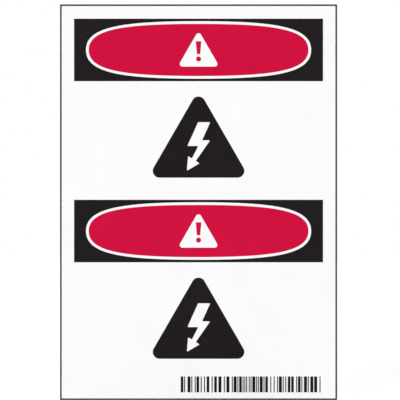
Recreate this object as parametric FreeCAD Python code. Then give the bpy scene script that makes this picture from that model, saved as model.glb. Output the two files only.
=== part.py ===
import FreeCAD, Part
import os

# High voltage warning sign: one sheet of white polyester film with a self-adhesive back,
# cut square and printed on its face in black and red ink.
# The sign stands upright, as it is read: X to the reader's right, Z up, and the printed face
# looks towards -Y. The origin is the centre of the adhesive back.
# Sizes are in millimetres.

# The film, with its adhesive and its clear top coat
SHEET_WIDTH = 88.9
SHEET_HEIGHT = 127.0
SHEET_THICKNESS = 0.15

# Every printed field is one coat of ink on the film's face
INK_THICKNESS = 0.03

# Black line printed round the very edge of the sheet
BORDER_WIDTH = 0.5

# Black header panels, one at the head of each half of the sign
PANEL_SIDE_MARGIN = 4.5
PANEL_TOP_MARGIN = 4.6
PANEL_HEIGHT = 20.05
PANEL_PITCH = 58.13

# Oval opening in each panel, where the film shows as a white ring round the red oval
OVAL_END_GAP = 3.8
OVAL_EDGE_GAP = 0.78
RING_WIDTH = 0.88

# Reach of the handles of each quarter of an oval, as a share of the half length and of the
# half height. An ellipse has 0.5523 for both, and these fuller values square its ends.
OVAL_LENGTH_REACH = 0.703
OVAL_HEIGHT_REACH = 0.785

# Faces of the stack, and the places worked out from the sizes above
BACK_Y = 0.0
FACE_Y = BACK_Y - SHEET_THICKNESS
PANEL_WIDTH = SHEET_WIDTH - 2 * PANEL_SIDE_MARGIN
UPPER_PANEL_Z = SHEET_HEIGHT / 2 - PANEL_TOP_MARGIN - PANEL_HEIGHT / 2
LOWER_PANEL_Z = UPPER_PANEL_Z - PANEL_PITCH
OVAL_LENGTH = PANEL_WIDTH - 2 * OVAL_END_GAP
OVAL_HEIGHT = PANEL_HEIGHT - 2 * OVAL_EDGE_GAP


def point(x, z):
    """Point on the sheet's printed face."""
    return FreeCAD.Vector(x, FACE_Y, z)


def rectangle(width, height, centre_z):
    """Closed square-cornered outline on the face, centred on the sheet's middle line."""
    left = -width / 2
    right = width / 2
    low = centre_z - height / 2
    high = centre_z + height / 2
    return Part.makePolygon([
        point(left, low),
        point(right, low),
        point(right, high),
        point(left, high),
        point(left, low),
    ])


def oval(length, height, centre_z):
    """Closed full oval on the face, of four quarter curves that meet without a corner."""
    half_length = length / 2
    half_height = height / 2
    quarters = []
    for side, rise in ((1, 1), (-1, 1), (-1, -1), (1, -1)):
        handles = [
            point(0, centre_z + rise * half_height),
            point(side * OVAL_LENGTH_REACH * half_length, centre_z + rise * half_height),
            point(side * half_length, centre_z + rise * OVAL_HEIGHT_REACH * half_height),
            point(side * half_length, centre_z),
        ]
        curve = Part.BezierCurve()
        curve.setPoles(handles)
        quarters.append(curve.toShape())
    return Part.Wire(Part.__sortEdges__(quarters))


def ink_layer(outline, opening=None):
    """One coat of ink, standing on the face, with an opening where the film is left bare."""
    field = Part.Face(outline)
    if opening is not None:
        field = field.cut(Part.Face(opening)).Faces[0]
    return field.extrude(FreeCAD.Vector(0, -INK_THICKNESS, 0))


def film_sheet():
    """The sheet itself, from its printed face to its adhesive back."""
    face = Part.Face(rectangle(SHEET_WIDTH, SHEET_HEIGHT, 0))
    return face.extrude(FreeCAD.Vector(0, SHEET_THICKNESS, 0))


def border_line():
    """Thin black frame whose outer edge is the edge of the sheet."""
    outer = rectangle(SHEET_WIDTH, SHEET_HEIGHT, 0)
    inner = rectangle(SHEET_WIDTH - 2 * BORDER_WIDTH, SHEET_HEIGHT - 2 * BORDER_WIDTH, 0)
    return ink_layer(outer, inner)


def header_panel(centre_z):
    """Black panel with the opening that leaves the white ring and the red oval clear."""
    panel = rectangle(PANEL_WIDTH, PANEL_HEIGHT, centre_z)
    return ink_layer(panel, oval(OVAL_LENGTH, OVAL_HEIGHT, centre_z))


def header_oval(centre_z):
    """Red oval, one ring width inside the panel's opening all the way round."""
    return ink_layer(oval(OVAL_LENGTH - 2 * RING_WIDTH, OVAL_HEIGHT - 2 * RING_WIDTH, centre_z))


nodes = {
    "sign_sheet": film_sheet(),
    "border_line": border_line(),
    "upper_header_panel": header_panel(UPPER_PANEL_Z),
    "lower_header_panel": header_panel(LOWER_PANEL_Z),
    "upper_header_oval": header_oval(UPPER_PANEL_Z),
    "lower_header_oval": header_oval(LOWER_PANEL_Z),
}

os.makedirs("parts", exist_ok=True)
for name, shape in nodes.items():
    shape.exportStep("parts/" + name + ".step")
    print(name, "valid", shape.isValid(), "solids", len(shape.Solids), "mm3", round(shape.Volume, 3))
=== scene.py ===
"""High voltage warning sign: its printed symbols, its finishes and the studio round its solids.

The sign is one sheet of white polyester film with an adhesive back, screen-printed in black and
red. It stands upright, as it is read: X to the reader's right, Z up, and the printed face looks
towards -Y. Shapes are drawn in millimetres and turned to metres as they are laid on the sheet.
"""
import logging
import math
import random
from abc import ABC, abstractmethod
from dataclasses import dataclass
from enum import Enum
from typing import Mapping, Sequence

import bmesh
import bpy
from mathutils import Matrix, Vector


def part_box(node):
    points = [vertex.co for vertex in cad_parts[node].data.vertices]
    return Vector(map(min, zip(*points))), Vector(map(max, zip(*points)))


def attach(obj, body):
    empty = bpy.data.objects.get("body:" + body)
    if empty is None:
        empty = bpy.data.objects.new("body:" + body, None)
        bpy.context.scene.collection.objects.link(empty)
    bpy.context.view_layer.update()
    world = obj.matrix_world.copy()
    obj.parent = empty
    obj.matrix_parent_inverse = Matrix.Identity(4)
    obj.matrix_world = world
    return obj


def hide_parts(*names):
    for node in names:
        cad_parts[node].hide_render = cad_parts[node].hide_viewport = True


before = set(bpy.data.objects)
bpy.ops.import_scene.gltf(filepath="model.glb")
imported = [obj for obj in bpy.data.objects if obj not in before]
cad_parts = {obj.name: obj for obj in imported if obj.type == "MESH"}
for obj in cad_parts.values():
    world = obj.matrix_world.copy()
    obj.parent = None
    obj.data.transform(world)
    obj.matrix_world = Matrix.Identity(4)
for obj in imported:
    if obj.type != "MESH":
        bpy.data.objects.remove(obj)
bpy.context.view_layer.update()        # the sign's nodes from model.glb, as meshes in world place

LOG = logging.getLogger("warning_sign")

MILLIMETRE = 0.001
BODY = "root"
SHEET_NODE = "sign_sheet"
EDGE_NODE = "border_line"

# A drawing's X and Y become the sign's X and Z, and its front becomes the side towards -Y
STAND_UP = Matrix.Rotation(math.radians(90), 4, "X")
# Straight steps that each curved stretch of an outline is drawn with
CURVE_STEPS = 32
# Points of a drawing that are nearer than this, in millimetres, are one point
MERGE_DISTANCE = 1e-4
# Handle of a quarter circle, as a share of its radius
ROUND_REACH = 0.5523

# Turn about X, Y and Z that keeps the cells of a noise off the lines of the sheet
NOISE_TURN = tuple(math.radians(degrees) for degrees in (31.0, 17.0, 23.0))
# Octaves that a noise has on top of its first: none for one soft swell, one for a finer swell on it
SOFT_SWELL = 0.0
FINER_SWELL = 1.0
# Refractive index of polyester, of acrylic adhesive and of dried ink
PLASTIC_IOR = 1.5

# A Mix node has its sockets for numbers and for colours under the same names
MIX_SHARE = 0
MIX_NUMBERS = (2, 3)
MIX_NUMBER_RESULT = 0
MIX_COLOURS = (6, 7)
MIX_COLOUR_RESULT = 2


class Slot(Enum):
    """Material slots of the sign's record."""

    FILM = "white_film"
    BLACK_INK = "black_ink"
    RED_INK = "red_ink"


class Half(Enum):
    """The two halves of the sign, each a header over a white field."""

    UPPER = "upper"
    LOWER = "lower"

    @property
    def panel_node(self) -> str:
        """Name of the half's black header panel."""
        return f"{self.value}_header_panel"

    @property
    def oval_node(self) -> str:
        """Name of the half's red oval."""
        return f"{self.value}_header_oval"


def linear(hex_colour: str) -> tuple[float, float, float, float]:
    """Turn an sRGB colour to the linear values that Blender's sockets hold.

    Args:
        hex_colour: A colour such as "#F8F8F6".

    Returns:
        Linear red, green and blue, with an alpha of 1.
    """
    channels = []
    for start in (1, 3, 5):
        value = int(hex_colour[start:start + 2], 16) / 255
        channels.append(value / 12.92 if value <= 0.04045 else ((value + 0.055) / 1.055) ** 2.4)
    return (*channels, 1.0)


def repeats(size_mm: float) -> float:
    """Scale of a pattern on Object coordinates whose features are size_mm apart."""
    return 1 / (size_mm * MILLIMETRE)


def add_node(
    tree: bpy.types.NodeTree,
    kind: str,
    settings: Mapping[str, object] | None = None,
    inputs: Mapping[str | int, object] | None = None,
) -> bpy.types.Node:
    """Add a node with its settings and its links.

    Args:
        tree: The node tree that gets the node.
        kind: Blender's name for the type of node.
        settings: Properties of the node itself, by name.
        inputs: What goes into its input sockets, by their name or number: an output socket, which
            is linked, or a value.

    Returns:
        The new node.
    """
    node = tree.nodes.new(kind)
    for name, value in (settings or {}).items():
        setattr(node, name, value)
    for socket, value in (inputs or {}).items():
        if isinstance(value, bpy.types.NodeSocket):
            tree.links.new(value, node.inputs[socket])
        else:
            node.inputs[socket].default_value = value
    return node


def cleared_tree(owner: bpy.types.Material | bpy.types.World) -> bpy.types.NodeTree:
    """Give a material or a world its node tree, with nothing in it.

    Args:
        owner: The material or world.

    Returns:
        Its empty node tree.
    """
    owner.use_nodes = True
    owner.node_tree.nodes.clear()
    return owner.node_tree


def rays_that_look(tree: bpy.types.NodeTree) -> bpy.types.NodeSocket:
    """Tell the rays that look at the room, straight or in a gloss, from those that only light it.

    Args:
        tree: Node tree of a part of the room.

    Returns:
        A number that is 1 for a ray that looks and 0 for one that lights.
    """
    rays = add_node(tree, "ShaderNodeLightPath")
    straight_or_mirrored = add_node(tree, "ShaderNodeMath", {"operation": "ADD"}, {
        0: rays.outputs["Is Camera Ray"],
        1: rays.outputs["Is Glossy Ray"],
    })
    looking = add_node(tree, "ShaderNodeMath", {"operation": "ADD", "use_clamp": True}, {
        0: straight_or_mirrored.outputs["Value"],
        1: rays.outputs["Is Transmission Ray"],
    })
    return looking.outputs["Value"]


class Finish(ABC):
    """One surface of the real sign or of the studio, as a material."""

    @abstractmethod
    def material(self) -> bpy.types.Material:
        """Build the finish's material."""


@dataclass(frozen=True)
class Side:
    """Sockets that say how one side of the sheet looks."""

    colour: bpy.types.NodeSocket
    roughness: bpy.types.NodeSocket
    height: bpy.types.NodeSocket


@dataclass(frozen=True)
class CalenderedFilm(Finish):
    """White polyester film, calendered between steel rolls, top-coated, with acrylic adhesive behind.

    To the eye that is an even, faintly cloudy white with a soft semi-gloss, broken by the long
    shallow waves that the rolls leave and by the fine peel of the top coat. The back is warmer and
    glossier, and its highlights are lumpy, because the adhesive levels in small pools.
    """

    name: str = "calendered_white_polyester_film"
    face_colour: str = "#FCFCFC"
    cloud_colour: str = "#F6F6F6"
    cloud_mm: float = 9.0
    wave_mm: float = 6.0
    wave_height_mm: float = 0.02
    peel_mm: float = 1.1
    peel_height_mm: float = 0.008
    face_roughness: tuple[float, float] = (0.31, 0.43)
    back_colour: str = "#F5F3EC"
    pool_colour: str = "#E6E2D5"
    pool_mm: float = 2.6
    pool_height_mm: float = 0.08
    back_roughness: tuple[float, float] = (0.14, 0.28)
    specular: float = 0.4
    # The look of the back sets in this far before its own plane, well within the sheet's thickness
    back_depth_mm: float = 0.05

    def material(self) -> bpy.types.Material:
        """Build face and back in one material, because the sheet is one piece.

        Returns:
            The film's material.
        """
        material = bpy.data.materials.new(self.name)
        tree = cleared_tree(material)
        place = add_node(tree, "ShaderNodeTexCoord").outputs["Object"]
        turned = add_node(tree, "ShaderNodeMapping", None, {"Vector": place, "Rotation": NOISE_TURN})
        behind = self.back_mask(tree, place)
        face = self.face(tree, turned.outputs["Vector"])
        back = self.back(tree, turned.outputs["Vector"])
        colour = add_node(tree, "ShaderNodeMix", {"data_type": "RGBA"}, {
            MIX_SHARE: behind,
            MIX_COLOURS[0]: face.colour,
            MIX_COLOURS[1]: back.colour,
        })
        roughness = add_node(tree, "ShaderNodeMix", {"data_type": "FLOAT"}, {
            MIX_SHARE: behind,
            MIX_NUMBERS[0]: face.roughness,
            MIX_NUMBERS[1]: back.roughness,
        })
        height = add_node(tree, "ShaderNodeMix", {"data_type": "FLOAT"}, {
            MIX_SHARE: behind,
            MIX_NUMBERS[0]: face.height,
            MIX_NUMBERS[1]: back.height,
        })
        bump = add_node(tree, "ShaderNodeBump", None, {
            "Height": height.outputs[MIX_NUMBER_RESULT],
            "Distance": MILLIMETRE,
        })
        shader = add_node(tree, "ShaderNodeBsdfPrincipled", None, {
            "Base Color": colour.outputs[MIX_COLOUR_RESULT],
            "Roughness": roughness.outputs[MIX_NUMBER_RESULT],
            "Normal": bump.outputs["Normal"],
            "IOR": PLASTIC_IOR,
            "Specular IOR Level": self.specular,
        })
        add_node(tree, "ShaderNodeOutputMaterial", None, {"Surface": shader.outputs["BSDF"]})
        return material

    def back_mask(self, tree: bpy.types.NodeTree, place: bpy.types.NodeSocket) -> bpy.types.NodeSocket:
        """Tell the back, which lies at a Y of zero, from the face.

        Args:
            tree: The film's node tree.
            place: Object coordinates.

        Returns:
            A number that is 1 on the back and 0 on the face.
        """
        depth = add_node(tree, "ShaderNodeSeparateXYZ", None, {"Vector": place})
        mask = add_node(tree, "ShaderNodeMapRange", None, {
            "Value": depth.outputs["Y"],
            "From Min": -self.back_depth_mm * MILLIMETRE,
            "From Max": 0.0,
        })
        return mask.outputs["Result"]

    def face(self, tree: bpy.types.NodeTree, place: bpy.types.NodeSocket) -> Side:
        """Describe the printed side: clouds of tone, long waves and the top coat's fine peel.

        Args:
            tree: The film's node tree.
            place: Coordinates for its noises.

        Returns:
            The side's sockets.
        """
        cloud = add_node(tree, "ShaderNodeTexNoise", None, {
            "Vector": place,
            "Scale": repeats(self.cloud_mm),
        })
        colour = add_node(tree, "ShaderNodeMix", {"data_type": "RGBA"}, {
            MIX_SHARE: cloud.outputs["Fac"],
            MIX_COLOURS[0]: linear(self.face_colour),
            MIX_COLOURS[1]: linear(self.cloud_colour),
        })
        peel = add_node(tree, "ShaderNodeTexNoise", None, {
            "Vector": place,
            "Scale": repeats(self.peel_mm),
            "Detail": FINER_SWELL,
        })
        roughness = add_node(tree, "ShaderNodeMapRange", None, {
            "Value": peel.outputs["Fac"],
            "To Min": self.face_roughness[0],
            "To Max": self.face_roughness[1],
        })
        wave = add_node(tree, "ShaderNodeTexNoise", None, {
            "Vector": place,
            "Scale": repeats(self.wave_mm),
            "Detail": SOFT_SWELL,
        })
        waves = add_node(tree, "ShaderNodeMath", {"operation": "MULTIPLY"}, {
            0: wave.outputs["Fac"],
            1: self.wave_height_mm,
        })
        height = add_node(tree, "ShaderNodeMath", {"operation": "MULTIPLY_ADD"}, {
            0: peel.outputs["Fac"],
            1: self.peel_height_mm,
            2: waves.outputs["Value"],
        })
        return Side(colour.outputs[MIX_COLOUR_RESULT], roughness.outputs["Result"], height.outputs["Value"])

    def back(self, tree: bpy.types.NodeTree, place: bpy.types.NodeSocket) -> Side:
        """Describe the adhesive side: pools of adhesive over the white film.

        Args:
            tree: The film's node tree.
            place: Coordinates for its noises.

        Returns:
            The side's sockets.
        """
        pool = add_node(tree, "ShaderNodeTexNoise", None, {
            "Vector": place,
            "Scale": repeats(self.pool_mm),
            "Detail": FINER_SWELL,
        })
        colour = add_node(tree, "ShaderNodeMix", {"data_type": "RGBA"}, {
            MIX_SHARE: pool.outputs["Fac"],
            MIX_COLOURS[0]: linear(self.back_colour),
            MIX_COLOURS[1]: linear(self.pool_colour),
        })
        roughness = add_node(tree, "ShaderNodeMapRange", None, {
            "Value": pool.outputs["Fac"],
            "To Min": self.back_roughness[0],
            "To Max": self.back_roughness[1],
        })
        height = add_node(tree, "ShaderNodeMapRange", None, {
            "Value": pool.outputs["Fac"],
            "To Max": self.pool_height_mm,
        })
        return Side(colour.outputs[MIX_COLOUR_RESULT], roughness.outputs["Result"], height.outputs["Result"])


@dataclass(frozen=True)
class ScreenInk(Finish):
    """Screen-printed solvent ink, squeezed through a mesh and dried to a satin coat.

    To the eye that is one dense colour, a little thinner here and there, with a satin sheen. From
    close by the coat shows the dots that the mesh left, each a trace thinner at its rim, and the
    waves in which it levelled.
    """

    name: str
    full_colour: str
    thin_colour: str
    specular: float = 0.08
    density_mm: float = 14.0
    level_mm: float = 1.6
    level_height_mm: float = 0.012
    # A screen of 47 threads to the centimetre leaves a dot each 0.21 mm, which is finer than a
    # pixel of the render, so the dots are drawn four times as coarse
    dot_mm: float = 0.85
    dot_height_mm: float = 0.01
    screen_angle: float = 22.5
    # How much of the thin colour the coat's uneven density brings, and how much the dots' rims do
    density_share: float = 0.6
    rim_share: float = 0.6
    roughness: tuple[float, float] = (0.36, 0.5)

    def material(self) -> bpy.types.Material:
        """Build the ink, with one colour for the full coat and one for the thin.

        Returns:
            The ink's material.
        """
        material = bpy.data.materials.new(self.name)
        tree = cleared_tree(material)
        place = add_node(tree, "ShaderNodeTexCoord").outputs["Object"]
        turned = add_node(tree, "ShaderNodeMapping", None, {"Vector": place, "Rotation": NOISE_TURN})
        rims = self.dot_rims(tree, place)
        colour = add_node(tree, "ShaderNodeMix", {"data_type": "RGBA"}, {
            MIX_SHARE: self.thinness(tree, turned.outputs["Vector"], rims),
            MIX_COLOURS[0]: linear(self.full_colour),
            MIX_COLOURS[1]: linear(self.thin_colour),
        })
        level = add_node(tree, "ShaderNodeTexNoise", None, {
            "Vector": turned.outputs["Vector"],
            "Scale": repeats(self.level_mm),
        })
        roughness = add_node(tree, "ShaderNodeMapRange", None, {
            "Value": level.outputs["Fac"],
            "To Min": self.roughness[0],
            "To Max": self.roughness[1],
        })
        bump = add_node(tree, "ShaderNodeBump", None, {
            "Height": self.coat_height(tree, rims, level.outputs["Fac"]),
            "Distance": MILLIMETRE,
        })
        shader = add_node(tree, "ShaderNodeBsdfPrincipled", None, {
            "Base Color": colour.outputs[MIX_COLOUR_RESULT],
            "Roughness": roughness.outputs["Result"],
            "Normal": bump.outputs["Normal"],
            "IOR": PLASTIC_IOR,
            "Specular IOR Level": self.specular,
        })
        add_node(tree, "ShaderNodeOutputMaterial", None, {"Surface": shader.outputs["BSDF"]})
        return material

    def dot_rims(self, tree: bpy.types.NodeTree, place: bpy.types.NodeSocket) -> bpy.types.NodeSocket:
        """Lay out the mesh's dots, which stand in rows at the screen's angle.

        Args:
            tree: The ink's node tree.
            place: Object coordinates.

        Returns:
            A number that grows from the middle of each dot to its rim.
        """
        turned = add_node(tree, "ShaderNodeMapping", None, {
            "Vector": place,
            "Rotation": (0.0, math.radians(self.screen_angle), 0.0),
        })
        dots = add_node(tree, "ShaderNodeTexVoronoi", None, {
            "Vector": turned.outputs["Vector"],
            "Scale": repeats(self.dot_mm),
            "Randomness": 0.0,
        })
        return dots.outputs["Distance"]

    def thinness(
        self, tree: bpy.types.NodeTree, place: bpy.types.NodeSocket, rims: bpy.types.NodeSocket
    ) -> bpy.types.NodeSocket:
        """Say where the coat is thin: in wide soft patches, and at the rim of each dot.

        Args:
            tree: The ink's node tree.
            place: Coordinates for its noises.
            rims: Distance from the middle of a dot.

        Returns:
            Share of the thin colour.
        """
        density = add_node(tree, "ShaderNodeTexNoise", None, {
            "Vector": place,
            "Scale": repeats(self.density_mm),
        })
        patches = add_node(tree, "ShaderNodeMath", {"operation": "MULTIPLY"}, {
            0: density.outputs["Fac"],
            1: self.density_share,
        })
        share = add_node(tree, "ShaderNodeMath", {"operation": "MULTIPLY_ADD", "use_clamp": True}, {
            0: rims,
            1: self.rim_share,
            2: patches.outputs["Value"],
        })
        return share.outputs["Value"]

    def coat_height(
        self, tree: bpy.types.NodeTree, rims: bpy.types.NodeSocket, level: bpy.types.NodeSocket
    ) -> bpy.types.NodeSocket:
        """Lower each dot's rim, and add the levelling waves.

        Args:
            tree: The ink's node tree.
            rims: Distance from the middle of a dot.
            level: The noise of the levelling waves.

        Returns:
            Height of the coat's surface, in millimetres.
        """
        waves = add_node(tree, "ShaderNodeMath", {"operation": "MULTIPLY"}, {
            0: level,
            1: self.level_height_mm,
        })
        height = add_node(tree, "ShaderNodeMath", {"operation": "MULTIPLY_ADD"}, {
            0: rims,
            1: -self.dot_height_mm,
            2: waves.outputs["Value"],
        })
        return height.outputs["Value"]


@dataclass(frozen=True)
class PaintedFloor(Finish):
    """Studio floor, rolled with matt white paint.

    To whoever looks it is as white as the room behind it, and only the sign's own shadow shows on it.
    """

    name: str = "matt_white_painted_floor"
    colour: str = "#F1F1F1"
    patch_colour: str = "#EEEEEE"
    patch_mm: float = 40.0
    lift: float = 0.287

    def material(self) -> bpy.types.Material:
        """Build the paint, which is lifted to white for the rays that look at it.

        Returns:
            The floor's material.
        """
        material = bpy.data.materials.new(self.name)
        tree = cleared_tree(material)
        place = add_node(tree, "ShaderNodeTexCoord").outputs["Object"]
        patch = add_node(tree, "ShaderNodeTexNoise", None, {
            "Vector": place,
            "Scale": repeats(self.patch_mm),
        })
        colour = add_node(tree, "ShaderNodeMix", {"data_type": "RGBA"}, {
            MIX_SHARE: patch.outputs["Fac"],
            MIX_COLOURS[0]: linear(self.colour),
            MIX_COLOURS[1]: linear(self.patch_colour),
        })
        paint = add_node(tree, "ShaderNodeBsdfDiffuse", None, {"Color": colour.outputs[MIX_COLOUR_RESULT]})
        lift = add_node(tree, "ShaderNodeMath", {"operation": "MULTIPLY"}, {
            0: rays_that_look(tree),
            1: self.lift,
        })
        glow = add_node(tree, "ShaderNodeEmission", None, {"Strength": lift.outputs["Value"]})
        both = add_node(tree, "ShaderNodeAddShader", None, {
            0: paint.outputs["BSDF"],
            1: glow.outputs["Emission"],
        })
        add_node(tree, "ShaderNodeOutputMaterial", None, {"Surface": both.outputs["Shader"]})
        return material


@dataclass(frozen=True)
class Finishes:
    """The materials of the sign, built once and shared by its pieces."""

    film: bpy.types.Material
    black_ink: bpy.types.Material
    red_ink: bpy.types.Material

    @classmethod
    def build(cls) -> "Finishes":
        """Build each of the sign's materials.

        Returns:
            The three materials.
        """
        black = ScreenInk("screen_printed_black_ink", "#100B0D", "#1E191B")
        red = ScreenInk("screen_printed_safety_red_ink", "#C60035", "#D30C41")
        return cls(CalenderedFilm().material(), black.material(), red.material())

    def for_slot(self, slot: Slot) -> bpy.types.Material:
        """Material that dresses a slot of the record."""
        return {Slot.FILM: self.film, Slot.BLACK_INK: self.black_ink, Slot.RED_INK: self.red_ink}[slot]


@dataclass(frozen=True)
class Knot:
    """Point of an outline, with its curve handles; where a run beside it is straight it has none."""

    at: Vector
    arrive: Vector | None = None
    leave: Vector | None = None

    def moved(self, step: Vector) -> "Knot":
        """Give the same knot one step further on, with its handles."""
        parts = (self.at, self.arrive, self.leave)
        return Knot(*(None if part is None else part + step for part in parts))


@dataclass(frozen=True)
class Outline:
    """Closed outline of a printed shape, in millimetres."""

    knots: tuple[Knot, ...]

    @classmethod
    def polygon(cls, corners: Sequence[Vector], radius: float = 0.0) -> "Outline":
        """Join corners by straight runs, and turn each corner by an arc.

        Args:
            corners: The corners in order, either way round.
            radius: Radius of every corner's arc, or zero for sharp corners.

        Returns:
            The outline.
        """
        knots = []
        for index, corner in enumerate(corners):
            if radius == 0:
                knots.append(Knot(corner))
                continue
            back = (corners[index - 1] - corner).normalized()
            ahead = (corners[(index + 1) % len(corners)] - corner).normalized()
            turn = math.pi - back.angle(ahead)
            start = radius * math.tan(turn / 2)
            handle = start - radius * math.tan(turn / 4) * 4 / 3
            knots.append(Knot(corner + back * start, leave=corner + back * handle))
            knots.append(Knot(corner + ahead * start, arrive=corner + ahead * handle))
        return cls(tuple(knots))

    @classmethod
    def oval(cls, length: float, height: float, length_reach: float, height_reach: float) -> "Outline":
        """Join four quarter curves round the drawing's origin.

        Args:
            length: Length of the oval, along X.
            height: Height of the oval, along Y.
            length_reach: Handles along the length, as a share of half the length.
            height_reach: Handles along the height, as a share of half the height.

        Returns:
            The outline.
        """
        knots = []
        for x, y in ((1, 0), (0, 1), (-1, 0), (0, -1)):
            at = Vector((x * length / 2, y * height / 2))
            handle = Vector((-y * length_reach * length / 2, x * height_reach * height / 2))
            knots.append(Knot(at, at - handle, at + handle))
        return cls(tuple(knots))

    def moved(self, x: float, y: float) -> "Outline":
        """Give the same outline, moved along the drawing's X and Y."""
        step = Vector((x, y))
        return Outline(tuple(knot.moved(step) for knot in self.knots))

    def add_to(self, drawing: bpy.types.Curve) -> None:
        """Add the outline to a drawing as a closed spline.

        Args:
            drawing: The flat curve that collects the outlines.
        """
        spline = drawing.splines.new("BEZIER")
        spline.bezier_points.add(len(self.knots) - 1)
        spline.use_cyclic_u = True
        for point, knot in zip(spline.bezier_points, self.knots):
            point.co = knot.at.to_3d()
            point.handle_left_type = "FREE" if knot.arrive else "VECTOR"
            point.handle_right_type = "FREE" if knot.leave else "VECTOR"
            if knot.arrive:
                point.handle_left = knot.arrive.to_3d()
            if knot.leave:
                point.handle_right = knot.leave.to_3d()


@dataclass(frozen=True)
class PrintedFace:
    """Edges and plane of the sheet's face and the print's thickness, in millimetres, read from the solids."""

    right: float
    foot: float
    face_y: float
    ink_thickness: float

    @classmethod
    def read(cls) -> "PrintedFace":
        """Measure the sheet and a coat of ink on it.

        Returns:
            The measured face.
        """
        low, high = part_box(SHEET_NODE)
        ink_low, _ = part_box(EDGE_NODE)
        values = (high.x, low.z, low.y, low.y - ink_low.y)
        return cls(*(value / MILLIMETRE for value in values))

    def lay(self, name: str, outlines: Sequence[Outline], centre: Vector) -> bpy.types.Object:
        """Print a shape on the sheet as one solid coat of ink.

        Args:
            name: Name of the new piece.
            outlines: Its outlines. One inside another is an opening, and one inside that is ink again.
            centre: Place of the drawing's origin on the face, as X and Z.

        Returns:
            The piece, with its place in its mesh.
        """
        mesh = self.flat_mesh(name, outlines)
        coat = bmesh.new()
        coat.from_mesh(mesh)
        bmesh.ops.remove_doubles(coat, verts=coat.verts, dist=MERGE_DISTANCE)
        raised = bmesh.ops.extrude_face_region(coat, geom=coat.faces)
        front = [part for part in raised["geom"] if isinstance(part, bmesh.types.BMVert)]
        bmesh.ops.translate(coat, verts=front, vec=(0.0, 0.0, self.ink_thickness))
        bmesh.ops.recalc_face_normals(coat, faces=coat.faces)
        place = Matrix.Translation((centre.x, self.face_y, centre.y))
        bmesh.ops.transform(coat, matrix=Matrix.Scale(MILLIMETRE, 4) @ place @ STAND_UP, verts=coat.verts)
        coat.to_mesh(mesh)
        coat.free()
        piece = bpy.data.objects.new(name, mesh)
        bpy.context.scene.collection.objects.link(piece)
        return piece

    def flat_mesh(self, name: str, outlines: Sequence[Outline]) -> bpy.types.Mesh:
        """Fill outlines on the drawing's own plane.

        Args:
            name: Name of the mesh.
            outlines: The outlines, nested or side by side.

        Returns:
            A flat mesh with the openings left free.
        """
        drawing = bpy.data.curves.new(name + "_drawing", "CURVE")
        drawing.dimensions = "2D"
        drawing.fill_mode = "BOTH"
        drawing.resolution_u = CURVE_STEPS
        for outline in outlines:
            outline.add_to(drawing)
        sketch = bpy.data.objects.new(name + "_drawing", drawing)
        bpy.context.scene.collection.objects.link(sketch)
        mesh = bpy.data.meshes.new_from_object(sketch.evaluated_get(bpy.context.evaluated_depsgraph_get()))
        mesh.name = name
        bpy.data.objects.remove(sketch)
        bpy.data.curves.remove(drawing)
        return mesh


@dataclass(frozen=True)
class HazardTriangle:
    """Upright triangle with rounded corners, drawn round the centre of its inscribed circle."""

    side: float
    corner_radius: float

    @property
    def inner_radius(self) -> float:
        """Distance from the centre to each side, and so to the foot."""
        return self.side / (2 * math.sqrt(3))

    @property
    def top(self) -> float:
        """Height of the rounded top above the centre."""
        return 2 * self.inner_radius - self.corner_radius

    def outline(self) -> Outline:
        """Draw the triangle.

        Returns:
            Its one outline.
        """
        turns = [math.radians(turn) for turn in (0, 120, 240)]
        corners = [Vector((math.sin(turn), math.cos(turn))) * 2 * self.inner_radius for turn in turns]
        return Outline.polygon(corners, self.corner_radius)


@dataclass(frozen=True)
class AlertMark:
    """Tapered stroke over a dot, drawn upwards from the foot of the dot."""

    height: float
    head_width: float
    foot_width: float
    dot_width: float
    gap: float
    corner_radius: float

    def outlines(self) -> list[Outline]:
        """Draw the stroke and the dot.

        Returns:
            Their two outlines.
        """
        low = self.dot_width + self.gap
        corners = [
            Vector((-self.head_width / 2, self.height)),
            Vector((self.head_width / 2, self.height)),
            Vector((self.foot_width / 2, low)),
            Vector((-self.foot_width / 2, low)),
        ]
        stroke = Outline.polygon(corners, self.corner_radius)
        dot = Outline.oval(self.dot_width, self.dot_width, ROUND_REACH, ROUND_REACH)
        return [stroke, dot.moved(0.0, self.dot_width / 2)]


@dataclass(frozen=True)
class Bolt:
    """Jagged bolt of two arms that ends in an arrowhead, drawn round its own middle.

    The arms meet in two level steps, on the right at the height step_high and on the left at
    step_low. The slope is how far the upper arm leans to the left for each millimetre down.
    """

    height: float = 15.6
    arm_left: float = -0.15
    arm_width: float = 3.9
    slope: float = 0.45
    step_high: float = 2.0
    step_low: float = 0.15
    right_step: float = 2.6
    left_step: float = 3.5
    tip_x: float = -3.75
    head_length: float = 4.2
    head_width: float = 4.4
    neck_width: float = 1.5
    corner_radius: float = 0.2

    def outline(self) -> Outline:
        """Draw the bolt down its right side to the tip, and up its left side.

        Returns:
            Its one outline.
        """
        top = self.height / 2
        arm_right = self.arm_left + self.arm_width
        notch = Vector((arm_right - self.slope * (top - self.step_high), self.step_high))
        right_shoulder = notch + Vector((self.right_step, 0.0))
        left_shoulder = Vector((self.arm_left - self.slope * (top - self.step_low), self.step_low))
        armpit = left_shoulder + Vector((self.left_step, 0.0))
        tip = Vector((self.tip_x, -top))
        aim = (tip - (right_shoulder + armpit) / 2).normalized()
        across = Vector((-aim.y, aim.x))
        root = tip - aim * self.head_length
        return Outline.polygon([
            Vector((self.arm_left, top)),
            Vector((arm_right, top)),
            notch,
            right_shoulder,
            root + across * self.neck_width / 2,
            root + across * self.head_width / 2,
            tip,
            root - across * self.head_width / 2,
            root - across * self.neck_width / 2,
            armpit,
            left_shoulder,
        ], self.corner_radius)


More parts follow.
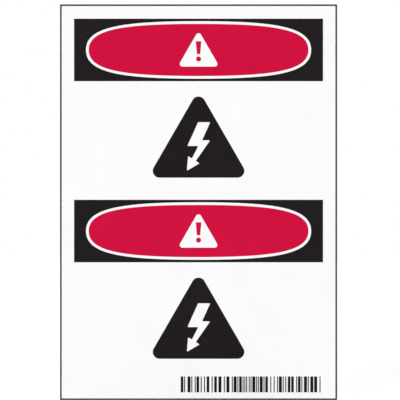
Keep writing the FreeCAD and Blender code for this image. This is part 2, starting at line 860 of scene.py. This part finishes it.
@dataclass
class SubAssembly(ABC):
    """A group of the sign's pieces that is built and dressed together."""

    face: PrintedFace
    finishes: Finishes

    @abstractmethod
    def build(self) -> dict[bpy.types.Object, Slot]:
        """Build the group's new pieces and fetch its ready solids, each with its slot."""

    def dress(self, piece: bpy.types.Object, slot: Slot) -> None:
        """Give a piece its body, its slot and its finish.

        Args:
            piece: A new piece or a ready solid.
            slot: The record's slot that it belongs to.
        """
        if piece.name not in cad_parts:
            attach(piece, BODY)
        if not piece.material_slots:
            piece.data.materials.append(None)
        for material_slot in piece.material_slots:
            material_slot.material = self.finishes.for_slot(slot)

    def make(self) -> None:
        """Build and dress the group, and report each piece."""
        for piece, slot in self.build().items():
            self.dress(piece, slot)
            LOG.info("%s: %s, %d faces", type(self).__name__, piece.name, len(piece.data.polygons))


@dataclass
class Sheet(SubAssembly):
    """The film and the thin line printed round its very edge, whose solids are ready."""

    def build(self) -> dict[bpy.types.Object, Slot]:
        """Fetch the two solids.

        Returns:
            The film and the edge line, each with its slot.
        """
        return {
            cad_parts[SHEET_NODE]: Slot.FILM,
            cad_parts[EDGE_NODE]: Slot.BLACK_INK,
        }


@dataclass
class Header(SubAssembly):
    """A black panel, whose solid is ready, and the red oval in it with the alert symbol left free."""

    half: Half
    # Fullness of the oval, as its solid has it
    length_reach: float = 0.703
    height_reach: float = 0.785
    symbol: HazardTriangle = HazardTriangle(side=13.4, corner_radius=0.9)
    mark: AlertMark = AlertMark(
        height=6.5, head_width=1.8, foot_width=1.05, dot_width=1.6, gap=0.75, corner_radius=0.2
    )
    mark_rise: float = 1.65

    def build(self) -> dict[bpy.types.Object, Slot]:
        """Fetch the panel, and print the oval over its plain solid.

        Returns:
            The panel and the oval, each with its slot.
        """
        low, high = (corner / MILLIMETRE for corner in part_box(self.half.oval_node))
        size = high - low
        centre = (high + low) / 2
        oval = Outline.oval(size.x, size.z, self.length_reach, self.height_reach)
        middle = (self.symbol.inner_radius - self.symbol.top) / 2
        foot = middle - self.symbol.inner_radius + self.mark_rise
        outlines = [oval, self.symbol.outline().moved(0.0, middle)]
        outlines += [outline.moved(0.0, foot) for outline in self.mark.outlines()]
        field = self.face.lay(f"{self.half.value}_signal_field", outlines, centre.xz)
        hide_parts(self.half.oval_node)
        return {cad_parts[self.half.panel_node]: Slot.BLACK_INK, field: Slot.RED_INK}


@dataclass
class SymbolField(SubAssembly):
    """The white field under a header, with the electricity symbol printed on it."""

    half: Half
    gap_under_panel: float = 4.94
    symbol: HazardTriangle = HazardTriangle(side=32.6, corner_radius=2.2)
    bolt: Bolt = Bolt()
    bolt_rise: float = 0.6

    def build(self) -> dict[bpy.types.Object, Slot]:
        """Print the symbol, with the bolt left free in it.

        Returns:
            The symbol with its slot.
        """
        low, high = (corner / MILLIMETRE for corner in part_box(self.half.panel_node))
        centre = Vector(((low.x + high.x) / 2, low.z - self.gap_under_panel - self.symbol.top))
        outlines = [self.symbol.outline(), self.bolt.outline().moved(0.0, self.bolt_rise)]
        return {self.face.lay(f"{self.half.value}_voltage_symbol", outlines, centre): Slot.BLACK_INK}


@dataclass
class FootBars(SubAssembly):
    """A strip of upright bars at the foot of the sign, in a made-up rhythm that says nothing."""

    length: float = 44.86
    height: float = 5.08
    right_margin: float = 5.30
    foot_margin: float = 2.48
    bars: int = 45
    # Widths of a bar or a space, in units of the narrowest bar, each as often as it stands here
    bar_widths: tuple[float, ...] = (1.0, 1.0, 1.0, 2.6, 3.0)
    space_widths: tuple[float, ...] = (0.8, 0.8, 0.8, 1.6, 2.4)
    seed: int = 12

    def build(self) -> dict[bpy.types.Object, Slot]:
        """Print the strip as one piece.

        Returns:
            The strip with its slot.
        """
        draw = random.Random(self.seed)
        widths = [draw.choice(self.bar_widths) for _ in range(self.bars)]
        spaces = [draw.choice(self.space_widths) for _ in range(self.bars - 1)]
        unit = self.length / (sum(widths) + sum(spaces))
        outlines = []
        left = -self.length / 2
        for width, space in zip(widths, [*spaces, 0.0]):
            right = left + width * unit
            outlines.append(self.bar(left, right))
            left = right + space * unit
        centre = Vector((
            self.face.right - self.right_margin - self.length / 2,
            self.face.foot + self.foot_margin + self.height / 2,
        ))
        return {self.face.lay("foot_bars", outlines, centre): Slot.BLACK_INK}

    def bar(self, left: float, right: float) -> Outline:
        """Draw one bar.

        Args:
            left: Where the bar starts on the strip.
            right: Where it ends.

        Returns:
            Its outline, as tall as the strip.
        """
        half = self.height / 2
        return Outline.polygon([
            Vector((left, -half)),
            Vector((right, -half)),
            Vector((right, half)),
            Vector((left, half)),
        ])


@dataclass(frozen=True)
class SoftBox:
    """Square studio lamp with a wide soft front, aimed at the sign's middle.

    Its angles are in degrees, its lengths in metres and its power in watts.
    """

    name: str
    azimuth: float
    power: float
    elevation: float = 20.0
    distance: float = 2.6
    width: float = 1.6

    def hang(self, target: Vector) -> None:
        """Hang the lamp in its place.

        Args:
            target: The point that it is aimed at.
        """
        lamp = bpy.data.lights.new(self.name, "AREA")
        lamp.shape = "SQUARE"
        lamp.size = self.width
        lamp.energy = self.power
        turn, rise = math.radians(self.azimuth), math.radians(self.elevation)
        away = Vector((math.sin(turn) * math.cos(rise), -math.cos(turn) * math.cos(rise), math.sin(rise)))
        stand = bpy.data.objects.new(self.name, lamp)
        stand.location = target + away * self.distance
        stand.rotation_euler = away.to_track_quat("Z", "Y").to_euler()
        bpy.context.scene.collection.objects.link(stand)
        LOG.info("lamp %s hangs at %s", self.name, [round(value, 3) for value in stand.location])


@dataclass(frozen=True)
class Studio:
    """White room round the sign: floor, world, lamps and the camera of the photograph.

    Its lengths are in metres, apart from the lens and the sensor, which are in millimetres.
    """

    floor_width: float = 1.6
    floor_cells: int = 8
    room_light: float = 0.35
    lamps: tuple[SoftBox, ...] = (
        SoftBox("front_key", azimuth=-48.0, power=34.0),
        SoftBox("front_fill", azimuth=48.0, power=23.8),
        SoftBox("back_key", azimuth=132.0, power=34.0),
        SoftBox("back_fill", azimuth=-132.0, power=23.8),
    )
    lens: float = 100.0
    sensor: float = 36.0
    near_clip: float = 0.01
    photo_pixels: int = 400
    photo_mm_per_pixel: float = 0.321
    photo_centre: tuple[float, float] = (198.55, 202.2)

    def set_up(self, face: PrintedFace) -> None:
        """Set up the room.

        Args:
            face: The face that the camera looks at.
        """
        self.lay_floor(face.foot * MILLIMETRE)
        self.light_room()
        for lamp in self.lamps:
            lamp.hang(Vector((0.0, face.face_y * MILLIMETRE, 0.0)))
        self.place_camera(face.face_y)

    def lay_floor(self, height: float) -> None:
        """Lay the floor under the sign's lower edge.

        Args:
            height: Height of the floor, in metres.
        """
        grid = bmesh.new()
        bmesh.ops.create_grid(
            grid, x_segments=self.floor_cells, y_segments=self.floor_cells, size=self.floor_width / 2
        )
        bmesh.ops.translate(grid, verts=grid.verts, vec=(0.0, 0.0, height))
        mesh = bpy.data.meshes.new("studio_floor")
        grid.to_mesh(mesh)
        grid.free()
        mesh.materials.append(PaintedFloor().material())
        floor = bpy.data.objects.new("studio_floor", mesh)
        bpy.context.scene.collection.objects.link(floor)
        LOG.info("floor lies at %.4f m", height)

    def light_room(self) -> None:
        """Make the room white to the rays that look at it, and plain soft light to all others."""
        world = bpy.data.worlds.new("white_room")
        tree = cleared_tree(world)
        strength = add_node(tree, "ShaderNodeMapRange", None, {
            "Value": rays_that_look(tree),
            "To Min": self.room_light,
            "To Max": 1.0,
        })
        walls = add_node(tree, "ShaderNodeBackground", None, {
            "Color": linear("#FFFFFF"),
            "Strength": strength.outputs["Result"],
        })
        add_node(tree, "ShaderNodeOutputWorld", None, {"Surface": walls.outputs["Background"]})
        bpy.context.scene.world = world

    def place_camera(self, face_y: float) -> None:
        """Place the camera straight before the sign, where the photograph was taken.

        Args:
            face_y: Y of the printed face, in millimetres.
        """
        data = bpy.data.cameras.new("photo_camera")
        data.lens = self.lens
        data.sensor_width = self.sensor
        data.clip_start = self.near_clip
        width = self.photo_pixels * self.photo_mm_per_pixel
        aside = (self.photo_pixels / 2 - self.photo_centre[0]) * self.photo_mm_per_pixel
        above = (self.photo_centre[1] - self.photo_pixels / 2) * self.photo_mm_per_pixel
        camera = bpy.data.objects.new("photo_camera", data)
        camera.location = Vector((aside, face_y - width * self.lens / self.sensor, above)) * MILLIMETRE
        camera.rotation_euler = (math.radians(90), 0.0, 0.0)
        bpy.context.scene.collection.objects.link(camera)
        bpy.context.scene.camera = camera
        LOG.info("camera stands at %s", [round(value, 4) for value in camera.location])


def main() -> None:
    """Build the sign's groups in order, then the studio."""
    logging.basicConfig(level=logging.INFO, format="%(message)s")
    bpy.context.scene.view_settings.view_transform = "Standard"
    face = PrintedFace.read()
    finishes = Finishes.build()
    groups: list[SubAssembly] = [Sheet(face, finishes)]
    for half in Half:
        groups.append(Header(face, finishes, half))
        groups.append(SymbolField(face, finishes, half))
    groups.append(FootBars(face, finishes))
    for group in groups:
        group.make()
    Studio().set_up(face)


if __name__ == "__main__":
    main()
